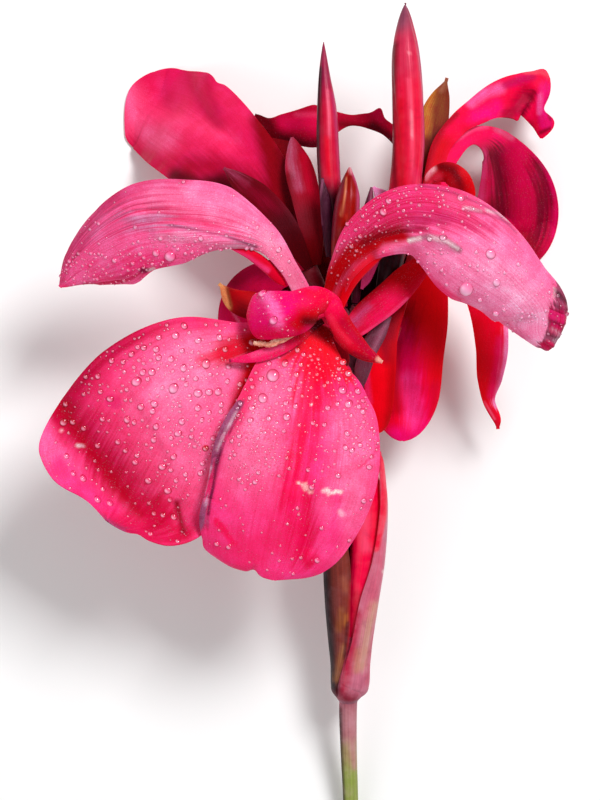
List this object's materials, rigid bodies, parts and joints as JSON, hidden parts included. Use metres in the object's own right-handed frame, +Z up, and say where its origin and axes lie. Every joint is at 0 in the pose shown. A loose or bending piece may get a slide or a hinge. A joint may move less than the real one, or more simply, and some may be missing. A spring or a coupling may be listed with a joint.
{
  "type": "canna lily flower stem",
  "caption": "Cut flowering stem of a canna lily, laid down: stem, bracts, pink-red flowers with broad staminodes, narrow petals and pointed buds, wet with dew",
  "frame": {"origin": "on the surface that the stem lies on, below the middle of its whole outline", "axes": "+X across the flowers to the right as seen from above, +Y from the cut end towards the bud tips, +Z up from the surface, towards someone who looks down on the open flower"},
  "size_m": [0.1496, 0.2566, 0.069],
  "materials": {
    "stem": "waxy green skin flushed mauve",
    "bract_mauve": "matt bloom over a ribbed skin",
    "bract_brown": "dry, faintly ribbed",
    "bract_pink": "satin",
    "flower_tube": "matt bloom",
    "petal_pink": "satin petal with fine veins",
    "petal_rose": "satin petal with fine veins",
    "petal_crimson": "satin petal",
    "petal_maroon": "satin petal",
    "petal_tan": "dry petal",
    "anther": "matt, dusted with pollen",
    "bud_red": "smooth waxy skin",
    "bud_dark": "smooth waxy skin",
    "dew": "clear water"
  },
  "bodies": {
    "root": {"stem": "stem", "bract_right": "bract_mauve", "bract_left": "bract_brown", "inner_bract": "bract_pink", "front_tube": "flower_tube", "front_labellum": "petal_pink", "front_staminode_lower": "petal_pink", "front_staminode_upper_left": "petal_pink", "front_staminode_upper_right": "petal_pink", "front_stamen": "petal_rose", "front_stamen_lobe": "petal_crimson", "front_anther": "anther", "front_style": "petal_rose", "front_petal_left": "petal_crimson", "front_petal_right": "petal_crimson", "front_petal_back": "petal_crimson", "left_tube": "flower_tube", "left_staminode": "petal_rose", "left_labellum": "petal_maroon", "left_petal_upper": "petal_crimson", "left_petal_side": "petal_maroon", "right_tube": "flower_tube", "right_staminode_arching": "petal_maroon", "right_staminode_curled": "petal_rose", "right_staminode_broad": "petal_maroon", "right_staminode_hanging": "petal_rose", "right_labellum": "petal_crimson", "right_stamen": "petal_crimson", "right_petal_tan": "petal_tan", "right_petal_pink": "petal_pink", "bud_tall": "bud_red", "bud_thin": "bud_dark", "bud_small": "bud_dark", "bud_tip": "bud_dark"}
  },
  "joints": []
}
